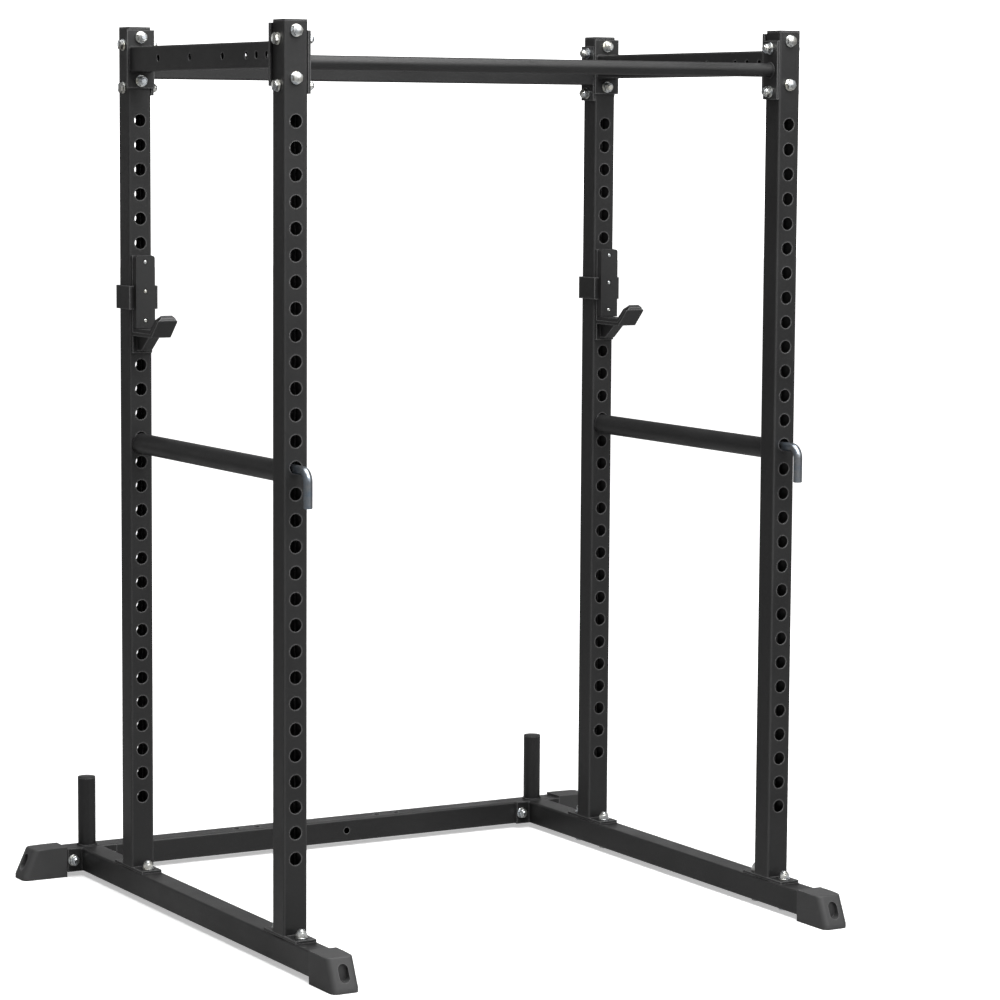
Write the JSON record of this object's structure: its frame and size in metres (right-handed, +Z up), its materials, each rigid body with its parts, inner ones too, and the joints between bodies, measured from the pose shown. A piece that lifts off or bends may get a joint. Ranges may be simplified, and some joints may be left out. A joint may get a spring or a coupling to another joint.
{
  "type": "power cage",
  "caption": "Bolted square-tube power cage with drilled uprights, pull-up bar, pinned safety pipes, bar hooks, rear storage posts and rubber shoes.",
  "frame": {"origin": "centre of the footprint, on the floor", "axes": "+X to the right seen from the open front, +Y from the front to the back, +Z up"},
  "size_m": [1.43, 1.253, 1.805],
  "materials": {
    "black_steel": "fine-texture satin black powder coat",
    "black_plastic": "matte moulded",
    "shoe_rubber": "matte moulded rubber",
    "zinc_fastener": "bright zinc plate",
    "zinc_pin": "blue-white zinc plate"
  },
  "bodies": {
    "frame": {"upright_front_left": "black_steel", "upright_front_right": "black_steel", "upright_rear_left": "black_steel", "upright_rear_right": "black_steel", "base_rail_left": "black_steel", "base_rail_right": "black_steel", "rear_crossmember": "black_steel", "storage_post_left": "black_steel", "storage_post_right": "black_steel", "side_beam_left": "black_steel", "side_beam_right": "black_steel", "rear_top_beam": "black_steel", "pull_up_bar": "black_steel", "end_cap_front_left": "black_plastic", "end_cap_front_right": "black_plastic", "end_cap_rear_left": "black_plastic", "end_cap_rear_right": "black_plastic", "post_cap_left": "black_plastic", "post_cap_right": "black_plastic", "shoe_front_left": "shoe_rubber", "shoe_front_right": "shoe_rubber", "shoe_rear_left": "shoe_rubber", "shoe_rear_right": "shoe_rubber", "side_beam_bolts": "zinc_fastener", "side_beam_washers": "zinc_fastener", "side_beam_nuts": "zinc_fastener", "cross_beam_bolts": "zinc_fastener", "cross_beam_washers": "zinc_fastener", "cross_beam_nuts": "zinc_fastener", "rail_plate_bolts": "zinc_fastener", "rail_plate_washers": "zinc_fastener", "rail_plate_nuts": "zinc_fastener", "foot_plate_bolts": "zinc_fastener", "foot_plate_washers": "zinc_fastener", "foot_plate_nuts": "zinc_fastener"},
    "safety_pin_left": {"safety_pin_left": "zinc_pin"},
    "safety_pipe_left": {"safety_pipe_left": "black_steel"},
    "bar_hook_left": {"hook_bracket_left": "black_steel", "hook_peg_left": "zinc_pin", "hook_face_pad_left": "black_plastic", "hook_saddle_liner_left": "black_plastic", "hook_screws_left": "zinc_fastener"},
    "safety_pin_right": {"safety_pin_right": "zinc_pin"},
    "safety_pipe_right": {"safety_pipe_right": "black_steel"},
    "bar_hook_right": {"hook_bracket_right": "black_steel", "hook_peg_right": "zinc_pin", "hook_face_pad_right": "black_plastic", "hook_saddle_liner_right": "black_plastic", "hook_screws_right": "zinc_fastener"}
  },
  "joints": [
    {"name": "safety_pin_left_pull", "type": "slide", "parent": "frame", "child": "safety_pin_left", "axis": [0, -1, 0], "range_m": [0, 0.78]},
    {"name": "safety_pipe_left_roll", "type": "hinge", "parent": "frame", "child": "safety_pipe_left", "pos_m": [-0.557, -0.0335, 0.9541], "axis": [0, 1, 0], "continuous": true},
    {"name": "bar_hook_left_pull", "type": "slide", "parent": "frame", "child": "bar_hook_left", "axis": [0, -1, 0], "range_m": [0, 0.06]},
    {"name": "safety_pin_right_pull", "type": "slide", "parent": "frame", "child": "safety_pin_right", "axis": [0, -1, 0], "range_m": [0, 0.78]},
    {"name": "safety_pipe_right_roll", "type": "hinge", "parent": "frame", "child": "safety_pipe_right", "pos_m": [0.557, -0.0335, 0.9541], "axis": [0, 1, 0], "continuous": true},
    {"name": "bar_hook_right_pull", "type": "slide", "parent": "frame", "child": "bar_hook_right", "axis": [0, -1, 0], "range_m": [0, 0.06]}
  ]
}
